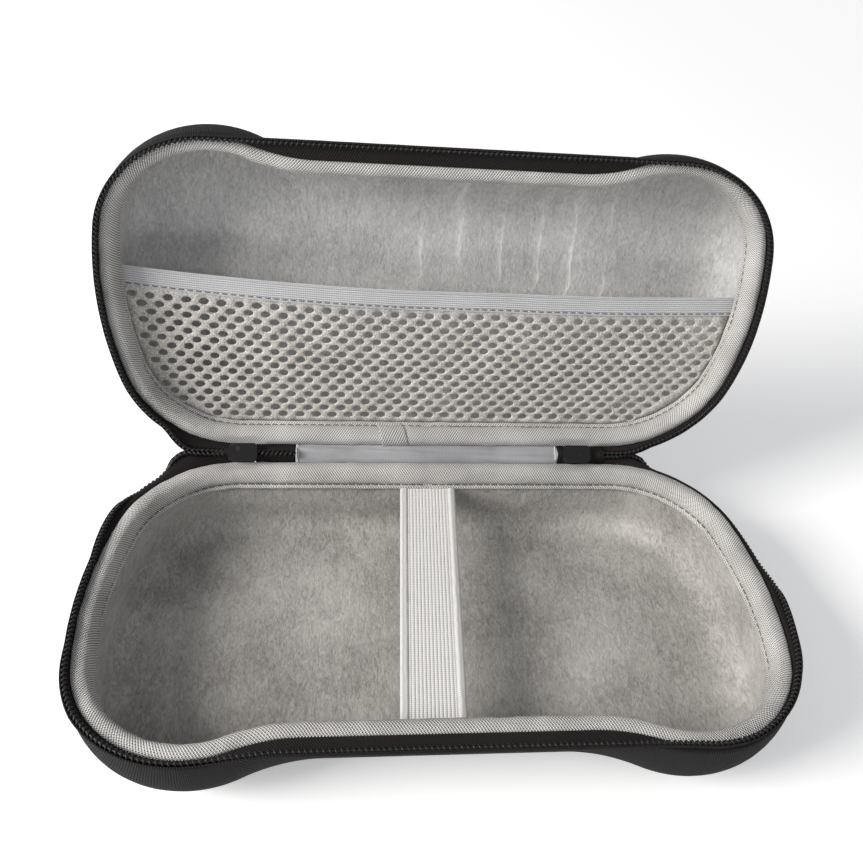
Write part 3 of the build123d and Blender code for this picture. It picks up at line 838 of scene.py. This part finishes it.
class Zip:
    """One half of the zip, as columns along the rim from the right end of the hinge round to the left."""

    def __init__(self, half, inwards):
        rim = outline(TAPE_INSET, waist_turn)
        behind = rim[:, 1] > half_depth - 4
        right, left = zip_right - inwards, zip_left + inwards
        run = np.nonzero(~behind | (rim[:, 0] > right) | (rim[:, 0] < left))[0]
        self.foot = np.column_stack([rim[run], np.zeros(len(run))])
        self.span = np.column_stack([coil_line()[run], np.zeros(len(run))]) - self.foot
        ahead = np.gradient(self.foot, axis=0)
        self.out = np.column_stack([-ahead[:, 1], ahead[:, 0], 0 * ahead[:, 0]])
        self.out /= np.linalg.norm(self.out, axis=1)[:, None]
        travel = run_along(self.foot) - inwards
        to_end = travel[-1] - inwards - travel
        self.under_slider = (travel < 0) | (to_end < 0)
        self.fall = 0 * travel
        if half is base:
            self.fall = np.interp(travel, *zip(*right_fall)) + np.interp(to_end, *zip(*left_fall))
        self.drawn = 1 - ease((np.minimum(travel, to_end) - 12) / 14)
        centre = self.foot + self.span + (0, 0, COIL_HEIGHT)
        apart = (hinge_y - centre[:, 1]) * sin(half_open) + (5.0 - centre[:, 2]) * cos(half_open)
        self.shift = (self.drawn * (apart - 0.8))[:, None] * (0, sin(half_open), cos(half_open))

    def line(self, upright, lying):
        """A line along the zip, from its place in the standing section and in the fallen one."""
        lean = LEAN_OUT * np.clip(2 * self.fall, 0, 1)[:, None]
        over = ease(2 * self.fall - 1)[:, None]
        above = upright[1] - PIVOT_HEIGHT
        leaning_out = upright[0] * np.cos(lean) + above * np.sin(lean)
        leaning_up = PIVOT_HEIGHT + above * np.cos(lean) - upright[0] * np.sin(lean)
        out = leaning_out * (1 - over) + lying[0] * over
        up = leaning_up * (1 - over) + lying[1] * over
        reached = self.foot + self.span * ease((upright[1] - 1.2) / 1.4) + self.out * out + up * (0, 0, 1)
        return reached + self.shift * ease(upright[1] / 3)


def wound(path, out, up, pitch, wide, high, phase=0.0):
    """A wire wound round a path: turns of a given pitch, with half-widths across and upwards."""
    total = np.linalg.norm(np.diff(path, axis=0), axis=1).sum()
    places = np.arange(0, total, pitch / LOOP_POINTS)
    found = at_distances(np.column_stack([path, out, up]), places)
    turn = (2 * pi * places / pitch + phase)[:, None]
    return found[:, :3] + wide * np.cos(turn) * found[:, 3:6] + high * np.sin(turn) * found[:, 6:]


bend_start = Vector((0, half_depth - TAPE_INSET, base_depth)) * MM
bend_end = Vector(lid.place(np.array((0.0, half_depth - TAPE_INSET, 0.0))))


def bend_with_lid(piece, finish, slot, *nodes):
    """Give a piece that runs from the base's rim to the lid's its finish, hide its solids, and bake its
    place.
    """
    piece.data.materials.append(finish)
    if nodes:
        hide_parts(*nodes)
    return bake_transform(piece)


for half in (base, lid):
    whole = Zip(half, SLIDER_LENGTH + 0.1)
    rows = np.array([whole.line(*places) for places in zip(standing, fallen)])
    low = whole.foot + np.linspace(-0.3, 2.1, len(rows))[:, None, None] * np.array((0, 0, 1))
    tip = rows[-1] - rows[-3]
    tip *= (whole.fall / np.linalg.norm(tip, axis=1))[:, None]
    rows[-2:] += np.array((0.6, 1.2))[:, None, None] * tip
    rows = np.where(whole.under_slider[None, :, None], low, rows)
    rows[3:] += (0.12 * roughness_of(rows[3:], 5.0, 3.0))[:, :, None] * np.array((0, 0, 1))
    length = along(rows)[:, :-1]
    tape_flat = np.stack([length, run_along(rows)], axis=-1) * MM
    tape = grid_piece(f"{half.body}_tape", half.place(rows), tape_flat)
    bend_with_lid(thicken(tape, 0.45, 0.0), tape_cloth, "zip_tape", f"{half.body}_zip_tape")
    ends = Zip(half, 0.0)
    path = ends.line(coil_standing, coil_fallen)
    wire = wound(path, ends.out, np.tile((0.0, 0.0, 1.0), (len(path), 1)), COIL_PITCH, 0.64, 0.72)
    coil = thread_piece(f"{half.body}_coil", [half.place(wire)], 0.42 * MM)
    bend_with_lid(coil, coil_nylon, "zip_coil", f"{half.body}_zip_coil")
    core = thread_piece(f"{half.body}_coil_cord", [half.place(path)], 0.5 * MM, 8)
    bend_with_lid(core, coil_nylon, "zip_coil")

# %% [markdown]
# ## The elastic strap
# A flat elastic has a thicker rib along each edge and fine ribs between them, because the rubber threads
# run lengthwise inside. The ribs are in the mesh, as one section carried along the strap. It is sewn in
# under the binding at both ends, and stretched, so it has no sag.

# %% Strap
strap_ends = ((0.0, 57.3), (-4.0, -49.2))
STRAP_WIDTH, STRAP_LENGTH, STRAP_DROP = 20.5, 106.5, 7.2
across = np.linspace(-STRAP_WIDTH / 2, STRAP_WIDTH / 2, 150)
from_edge = STRAP_WIDTH / 2 - np.abs(across)
ribs = np.where(from_edge > 2.6, 0.09 * np.cos(2 * pi * across / 1.28), 0.0)
edge_rib = 0.42 * np.sqrt(np.maximum(0, 1 - ((from_edge - 0.95) / 0.95) ** 2))
groove = -0.22 * np.exp(-(((from_edge - 2.25) / 0.3) ** 2))
section = ribs + edge_rib + groove
share = np.linspace(0, 1, 90)
centre = np.array(strap_ends[0]) + share[:, None] * (np.array(strap_ends[1]) - np.array(strap_ends[0]))
grid = np.zeros((len(share), len(across), 3))
grid[:, :, 0] = centre[:, :1] + across
grid[:, :, 1] = centre[:, 1:]
grid[:, :, 2] = -STRAP_DROP - 0.45 + section + 0.12 * roughness_of(grid, 17.0, 6.0)
strap_run, strap_side = share[:, None] * STRAP_LENGTH, across[None] + STRAP_WIDTH / 2
strap_flat = np.stack(np.broadcast_arrays(strap_run, strap_side), axis=-1) * MM
strap = thicken(grid_piece("strap", base.place(grid), strap_flat), 0.8, -1.0)
dress(strap, base, strap_cloth, "strap_elastic", "elastic_strap")
print("strap ribs", int((STRAP_WIDTH - 5.2) / 1.28))

# %% [markdown]
# ## The mesh pocket
# The pocket is knitted mesh, sewn in along the hinge side and the two ends of the lid, with an elastic band
# along its mouth that sags a little in the middle. The holes are real openings: the flat cut of the mesh,
# with one small ring for every hole, is filled with triangles round the rings, and then laid into the lid.
# A second ring of points round each hole is lifted, so that its edge is rounded like knitted loops.

# %% Mesh
pocket_drop, pocket_inset = 7.15, 5.5
HOLE_POINTS, HOLE_ACROSS, HOLE_UP = 12, 1.72, 1.32
COLUMN_PITCH, ROW_PITCH = 6.4, 3.15


def mouth_rise(x):
    x = np.asarray(x, float)
    return np.where(x < 0, 5.2 * (x / 109) ** 2, 2.7 * (x / 115) ** 2)


def mouth_y(x):
    """The upper edge of the band: it sags in the middle, and one end is sewn in higher."""
    return half_depth - 68.0 - mouth_rise(x)


def pocket_height(x, y):
    """How far out the pocket stands: fullest in the middle near its mouth, in slow waves."""
    fall = np.clip((half_depth - 6 - y) / 62, 0, 1)
    places = np.stack([x, y], -1).reshape(-1, 2)
    wave = np.array([noise.noise(Vector((a / 21, b / 17, 2.5))) for a, b in places])
    return (1 - (x / 116) ** 2) * np.sin(fall * pi * 0.55) * (1.1 + 0.8 * wave.reshape(np.shape(x)))


pocket_ring = lid.ring(pocket_drop, pocket_inset + pocket_drop * slope)
inside_pocket = pocket_ring[:, 1] > mouth_y(pocket_ring[:, 0]) + 6.5
right_side = pocket_ring[: len(pocket_ring) // 2][inside_pocket[: len(pocket_ring) // 2], :2]
left_side = pocket_ring[len(pocket_ring) // 2:][inside_pocket[len(pocket_ring) // 2:], :2]
mouth_x = np.linspace(right_side[-1, 0], left_side[0, 0], 120)[1:-1]
border = np.vstack([right_side, np.column_stack([mouth_x, mouth_y(mouth_x) + 6.5]), left_side])
reach_y, reach_x = right_side[::-1, 1], right_side[::-1, 0]
angles = 2 * pi * np.arange(HOLE_POINTS) / HOLE_POINTS
ring_shape = np.column_stack([np.cos(angles), np.sin(angles)]) * (HOLE_ACROSS, HOLE_UP)
loose = np.random.default_rng(4)
centres = []
for row in range(16):
    for x in np.arange(-115, 115, COLUMN_PITCH) + COLUMN_PITCH / 2 * (row % 2):
        y = half_depth - 9.6 - row * ROW_PITCH * (1 + mouth_rise(x) / 52)
        if abs(x) < np.interp(y, reach_y, reach_x) - 2.6 and y > mouth_y(x) + 9.4:
            centres.append((x, y))
centres = np.array(centres) + loose.normal(0, 0.09, (len(centres), 2))
holes = centres[:, None] + ring_shape * loose.normal(1, 0.04, (len(centres), 1, 2))
lips = centres[:, None] + ring_shape * 1.25
outer_edges = [(k, (k + 1) % len(border)) for k in range(len(border))]
hole_edges = []
for k in range(len(centres)):
    first = len(border) + k * HOLE_POINTS
    hole_edges += [(first + n, first + (n + 1) % HOLE_POINTS) for n in range(HOLE_POINTS)]
flat_points = np.vstack([border, holes.reshape(-1, 2), lips.reshape(-1, 2)])
found = geometry.delaunay_2d_cdt([Vector(p) for p in flat_points], outer_edges + hole_edges, [], 2, 1e-5)
mesh_points = np.array([tuple(v) for v in found[0]])
origin = np.array([sources[0] for sources in found[3]])
first_lip = len(border) + len(holes) * HOLE_POINTS
hole_of = np.where(origin < first_lip, (origin - len(border)) // HOLE_POINTS, -1)
mesh_faces = [tuple(f) for f in found[2] if hole_of[f[0]] < 0 or len({hole_of[k] for k in f}) > 1]
height = pocket_height(mesh_points[:, 0], mesh_points[:, 1])
height += np.where(hole_of >= 0, -0.22, 0.0) + np.where(origin >= first_lip, 0.1, 0.0)
mesh_local = np.column_stack([mesh_points, height - pocket_drop - 0.4])
corners = mesh_points[np.concatenate([np.array(f) for f in mesh_faces])] * MM
pocket = thicken(add_piece("pocket_mesh", lid.place(mesh_local), mesh_faces, corners), 0.6, 1.0)
dress(pocket, lid, mesh_knit, "pocket_mesh", "mesh_pocket")
print("holes", len(centres), "triangles", len(mesh_faces))

# %% [markdown]
# ## The pocket's elastic band
# The band is a ribbed elastic, folded over the mesh's edge and sewn along its lower side. It is a strip from
# wall to wall that follows the sagging mouth, with its ribs in the mesh and a dashed row of stitches.

# %% Band
BAND_WIDTH, SEAM_PLACE = 8.0, 7.1
side_reach = np.interp(mouth_y(100) + 4, reach_y, reach_x) + 0.4
x = np.linspace(-side_reach, side_reach, 170)
v = np.linspace(0, BAND_WIDTH, 58)
rolled_edge = 0.3 * np.exp(-(((v - 0.5) / 0.45) ** 2))
sewn_groove = -0.25 * np.exp(-(((v - SEAM_PLACE) / 0.35) ** 2))
rib = 0.06 * np.cos(2 * pi * v / 0.9) + rolled_edge + sewn_groove
grid = np.zeros((len(v), len(x), 3))
grid[:, :, 0] = x
grid[:, :, 1] = mouth_y(x) + v[:, None]
grid[:, :, 2] = pocket_height(grid[:, :, 0], grid[:, :, 1]) - pocket_drop + 0.35 + rib[:, None]
band_flat = np.stack(np.broadcast_arrays(x[None] + side_reach, v[:, None]), axis=-1) * MM
band = thicken(grid_piece("pocket_band", lid.place(grid), band_flat), 1.0, 1.0)
dress(band, lid, band_cloth, "pocket_elastic", "pocket_elastic")
seam = grid[np.argmin(np.abs(v - SEAM_PLACE))]
band_lines = stitches(seam, np.tile((0.0, 0.0, 1.0), (len(seam), 1)), 3.1, 2.2, 0.22)
band_sewn = thread_piece("pocket_band_stitches", [lid.place(line) for line in band_lines], 0.2 * MM, 5)
# The band's stitches use the same dark thread, painted shade along the seam.
dress(band_sewn, lid, shaded_thread, "pocket_elastic")
mesh_area = sum(abs((b[0] - a[0]) * (c[1] - a[1]) - (b[1] - a[1]) * (c[0] - a[0])) / 2
                for a, b, c in (mesh_points[list(f)] for f in mesh_faces)) * MM ** 2
print("band", round(2 * side_reach, 1), "mm,", len(band_lines), "stitches, mesh area", round(mesh_area, 4))

# %% [markdown]
# ## The hinge
# Between the sliders the two halves are joined by cloth only: a grey liner on the inside, in loose folds,
# and a black strip outside, which is sewn to both shells. On the left, a short end of the zip stays closed.
# All three are built bent from the base's rim to the lid's, at the angle at which the lid stands open.

# %% Hinge cloth
liner_y = half_depth - TAPE_INSET
bend_radius = 5.0 / tan(half_open) + hinge_y - liner_y
bend_middle = liner_y + bend_radius
LINER_HALF = 52.0


def bend_points(share, offset):
    """Places y and z on the hinge's bend, from the base's rim to the lid's, moved out by an offset."""
    radius, angle = bend_radius + offset, share * open_angle
    return bend_middle - radius * np.cos(angle), base_depth + radius * np.sin(angle)


def strip(name, x, y, z):
    """A strip of cloth across the hinge, from rows of y and z, which may vary along x."""
    grid = np.stack(np.broadcast_arrays(x[None], y, z), axis=-1)
    return grid_piece(name, grid * MM, np.stack([grid[:, :, 0], run_along(grid)], axis=-1) * MM)


x = np.linspace(-LINER_HALF, LINER_HALF, 150)
share = np.linspace(0, 1, 22)[:, None] * np.ones(len(x))
folds = np.stack([x / 24 + 0 * share, share * 2.1 + x / 40, 0 * share + 1.0], axis=-1)
wrinkle = 0.8 * roughness_of(folds, 1.0) + 0.35 * roughness_of(folds * 3.1, 1.0, 7.0)
deep_fold = -0.7 * np.exp(-(((share - 0.62 + 0.22 * np.tanh(x / 25)) / 0.08) ** 2))
liner = strip("hinge_lining", x, *bend_points(share, (0.3 + wrinkle + deep_fold) * np.sin(share * pi)))
bend_with_lid(thicken(liner, 0.4, 0.0), liner_cloth, "liner_cloth", "hinge_liner")
thread_run = np.linspace(0.08, 0.92, 9)
sewn = [np.column_stack([0 * thread_run + place, *bend_points(thread_run, 0.35)]) * MM
        for place in (-LINER_HALF + 0.5, LINER_HALF - 0.5)]
edge_thread = bend_with_lid(thread_piece("hinge_lining_thread", sewn, 0.32 * MM), thread, "liner_cloth")

web_y = half_depth + 0.55
LEG_LENGTH = 8
leg = np.linspace(LEG_LENGTH, 0, 6)[:-1]
turn = np.linspace(0, 1, 16) * open_angle
web_radius = bend_middle - web_y
leg_up = np.array((sin(open_angle), cos(open_angle)))
bend = np.column_stack([bend_middle - web_radius * np.cos(turn), base_depth + web_radius * np.sin(turn)])
base_leg = np.column_stack([0 * leg + web_y, base_depth - leg])
lid_leg = bend[-1] + (LEG_LENGTH - leg)[:, None] * leg_up
web_path = np.vstack([base_leg, bend, lid_leg])
web = strip("hinge_strip", x, web_path[:, :1], web_path[:, 1:])
bend_with_lid(thicken(web, 0.6, 0.0), shell_cloth, "shell_cloth", "hinge_web")
print("hinge lining", len(liner.data.polygons), "faces, hinge strip", len(web.data.polygons), "faces")

# %% [markdown]
# ## The closed end of the zip
# To the left of the lining the two coils stay closed. Their turns lie between each other, so this piece has
# two wires of the same pitch, half a turn apart, on a tape that is folded from one rim to the other. Short
# folds of the same tape close the gap on the other sides of the sliders.

# %% Closed zip end
chain_left, chain_right = -66.7, -LINER_HALF - 0.2
IN_SLIDER, END_REACH = 0.6, 6
fold_z = hinge_z + (hinge_y - liner_y) * tan(half_open)
rim_y, rim_z = (value / MM for value in bend_end[1:])
fold = np.array([(liner_y, base_depth), (liner_y, fold_z - 1.2), (liner_y + 0.35, fold_z - 0.3),
                 (liner_y + 1.2, fold_z), (rim_y, rim_z)])


def zip_fold(name, begin, end, *nodes):
    """The folded tape that joins both rims from one x to another."""
    made = strip(name, np.linspace(begin, end, 16), fold[:, :1], fold[:, 1:])
    return bend_with_lid(thicken(made, 0.5, 0.0), tape_cloth, "zip_tape", *nodes)


left_fold = zip_fold("left_zip_fold", zip_left + SLIDER_LENGTH - IN_SLIDER, chain_right, "left_zip_end")
ends = [zip_fold(f"zip_end_{number}", *reach) for number, reach in enumerate((
    (zip_left - END_REACH, zip_left + IN_SLIDER),
    (LINER_HALF + 0.2, zip_right - SLIDER_LENGTH + IN_SLIDER),
    (zip_right - IN_SLIDER, zip_right + END_REACH),
))]
chain_x = np.linspace(chain_left, chain_right, 12)
line = np.column_stack([chain_x, 0 * chain_x + liner_y - 0.25, 0 * chain_x + fold_z - 0.1])
forward, upward = np.tile((0.0, -0.75, 0.66), (len(line), 1)), np.tile((0.0, 0.66, 0.75), (len(line), 1))
wires = [wound(line, forward, upward, 2 * COIL_PITCH, 0.75, 1.0, phase) * MM for phase in (0.0, pi)]
chain = bend_with_lid(thread_piece("left_zip_chain", wires, 0.4 * MM), coil_nylon, "zip_coil")
print("closed turns", round((chain_right - chain_left) / COIL_PITCH))

# %% [markdown]
# ## Sliders and pulls
# The sliders and their pulls are small castings, and the solids already have their form. A narrow bevel
# breaks the edges, as casting and tumbling do.

# %% Castings
for name in ("left_slider", "right_slider", "left_pull", "right_pull"):
    casting = frame["nodes"][name]
    casting.data.materials.clear()
    casting.data.materials.append(lacquer)
    worn_edge = casting.modifiers.new("worn_edge", "BEVEL")
    worn_edge.width, worn_edge.segments, worn_edge.limit_method = 0.25 * MM, 3, "ANGLE"
    worn_edge.angle_limit = radians(35)
print("castings", [name for name in frame["nodes"] if "slider" in name or "pull" in name])

# %% [markdown]
# ## Sizes
# The box round all the shown pieces, without the floor, is printed.

# %% Finish
low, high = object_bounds()
print("box", [round(v, 4) for v in low], [round(v, 4) for v in high])
